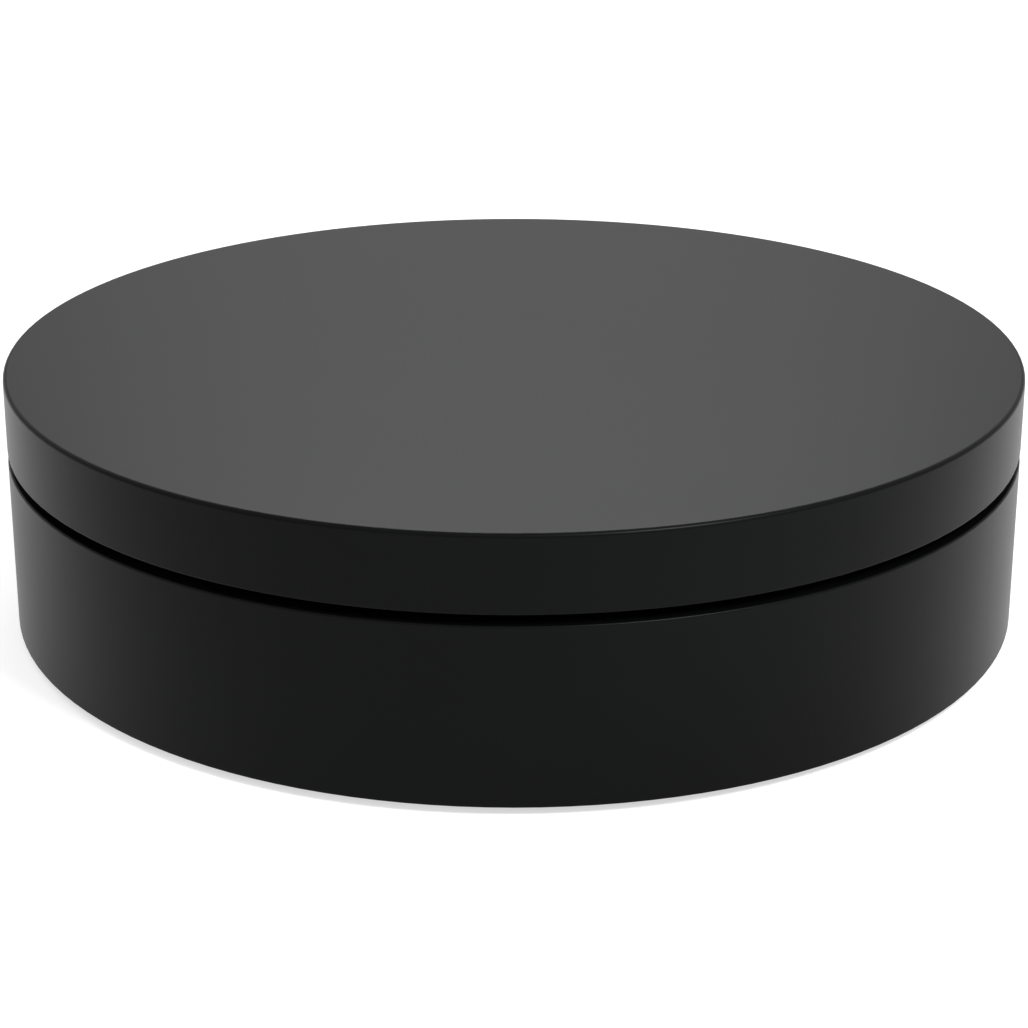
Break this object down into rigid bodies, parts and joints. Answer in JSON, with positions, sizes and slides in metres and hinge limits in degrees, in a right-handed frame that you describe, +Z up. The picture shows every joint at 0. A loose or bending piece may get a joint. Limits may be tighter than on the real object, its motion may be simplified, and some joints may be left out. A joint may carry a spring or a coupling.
{
  "type": "turntable display stand",
  "caption": "Motorised round display turntable: a low drum whose flat top plate turns on rollers, driven by a worm geared motor, with a rocker switch and power inlet at the back.",
  "frame": {"origin": "centre of the footprint on the floor, on the plate's turning axis", "axes": "+Z up along the plate's turning axis; -Y is the plain front; the switch and the power inlet face +Y"},
  "size_m": [0.2, 0.2, 0.052],
  "materials": {
    "black_abs": "fine moulded texture, black",
    "rubber_foot": "matt black",
    "acetal_white": "natural white, satin",
    "steel_pin": "ground",
    "screw_zinc": "zinc plated",
    "hub_aluminium": "turned",
    "gearbox_nylon": "glass-filled nylon, dark grey",
    "bronze_bush": "sintered bronze, oily",
    "worm_brass": "machined",
    "motor_steel": "drawn, nickel plated",
    "rotor_steel": "laminated",
    "winding_copper": "enamelled copper",
    "magnet_ferrite": "sintered, dark grey",
    "motor_cap": "natural nylon",
    "terminal_brass": "tinned",
    "switch_black": "satin black nylon",
    "nut_nickel": "nickel plated",
    "lead_red": "PVC insulation, red",
    "lead_black": "PVC insulation, black"
  },
  "bodies": {
    "base": {"base_housing": "black_abs", "bottom_cover": "black_abs", "cover_screws": "screw_zinc", "foot_1": "rubber_foot", "foot_2": "rubber_foot", "foot_3": "rubber_foot", "foot_4": "rubber_foot", "roller_axle_1": "steel_pin", "roller_axle_2": "steel_pin", "roller_axle_3": "steel_pin", "roller_axle_4": "steel_pin", "gearbox_housing": "gearbox_nylon", "gearbox_lid": "gearbox_nylon", "gearbox_screws": "screw_zinc", "gearbox_mount_screws": "screw_zinc", "idler_pin": "steel_pin", "worm_gear_pin": "steel_pin", "lower_bush": "bronze_bush", "upper_bush": "bronze_bush", "motor_can": "motor_steel", "motor_magnets": "magnet_ferrite", "motor_end_cap": "motor_cap", "motor_brushes": "magnet_ferrite", "motor_terminals": "terminal_brass", "motor_screws": "screw_zinc", "switch_body": "switch_black", "switch_tabs": "terminal_brass", "jack_body": "switch_black", "jack_pin": "terminal_brass", "jack_sleeve_tab": "terminal_brass", "jack_nut": "nut_nickel", "lead_inlet_switch": "lead_red", "lead_switch_motor": "lead_red", "lead_inlet_motor": "lead_black"},
    "turntable": {"turntable_plate": "black_abs", "drive_hub": "hub_aluminium", "hub_screws": "screw_zinc", "hub_roll_pin": "steel_pin", "output_shaft": "steel_pin", "shaft_circlip": "steel_pin", "thrust_washer": "steel_pin", "output_gear": "acetal_white"},
    "idler": {"idler_gear": "acetal_white"},
    "worm_wheel": {"worm_gear": "acetal_white"},
    "rotor": {"worm": "worm_brass", "motor_shaft": "steel_pin", "motor_armature": "rotor_steel", "motor_windings": "winding_copper", "motor_commutator": "winding_copper"},
    "wheel_1": {"roller_1": "acetal_white"},
    "wheel_2": {"roller_2": "acetal_white"},
    "wheel_3": {"roller_3": "acetal_white"},
    "wheel_4": {"roller_4": "acetal_white"},
    "rocker": {"rocker_button": "switch_black"}
  },
  "joints": [
    {"name": "plate_spin", "type": "hinge", "parent": "base", "child": "turntable", "pos_m": [0, 0, 0.0374], "axis": [0, 0, 1], "continuous": true},
    {"name": "idler_spin", "type": "hinge", "parent": "base", "child": "idler", "pos_m": [-0.004, -0.01289, 0.02], "axis": [0, 0, 1], "continuous": true},
    {"name": "worm_wheel_spin", "type": "hinge", "parent": "base", "child": "worm_wheel", "pos_m": [-0.00595, -0.02423, 0.02], "axis": [0, 0, 1], "continuous": true},
    {"name": "motor_spin", "type": "hinge", "parent": "base", "child": "rotor", "pos_m": [0.0038, -0.04, 0.0199], "axis": [0, -1, 0], "continuous": true},
    {"name": "roller_1_spin", "type": "hinge", "parent": "base", "child": "wheel_1", "pos_m": [0.05515, 0.05515, 0.0384], "axis": [0.7071, 0.7071, 0], "continuous": true},
    {"name": "roller_2_spin", "type": "hinge", "parent": "base", "child": "wheel_2", "pos_m": [-0.05515, 0.05515, 0.0384], "axis": [-0.7071, 0.7071, 0], "continuous": true},
    {"name": "roller_3_spin", "type": "hinge", "parent": "base", "child": "wheel_3", "pos_m": [-0.05515, -0.05515, 0.0384], "axis": [-0.7071, -0.7071, 0], "continuous": true},
    {"name": "roller_4_spin", "type": "hinge", "parent": "base", "child": "wheel_4", "pos_m": [0.05515, -0.05515, 0.0384], "axis": [0.7071, -0.7071, 0], "continuous": true},
    {"name": "power_rocker", "type": "hinge", "parent": "base", "child": "rocker", "pos_m": [-0.0105, 0.0933, 0.01805], "axis": [0, 0, 1], "range_deg": [-22, 0]}
  ],
  "couplings": [
    {"joint": "idler_spin", "follows": "plate_spin", "ratio": -3.5},
    {"joint": "worm_wheel_spin", "follows": "plate_spin", "ratio": 9.9167},
    {"joint": "motor_spin", "follows": "plate_spin", "ratio": 277.67},
    {"joint": "roller_1_spin", "follows": "plate_spin", "ratio": -12},
    {"joint": "roller_2_spin", "follows": "plate_spin", "ratio": -12},
    {"joint": "roller_3_spin", "follows": "plate_spin", "ratio": -12},
    {"joint": "roller_4_spin", "follows": "plate_spin", "ratio": -12}
  ]
}
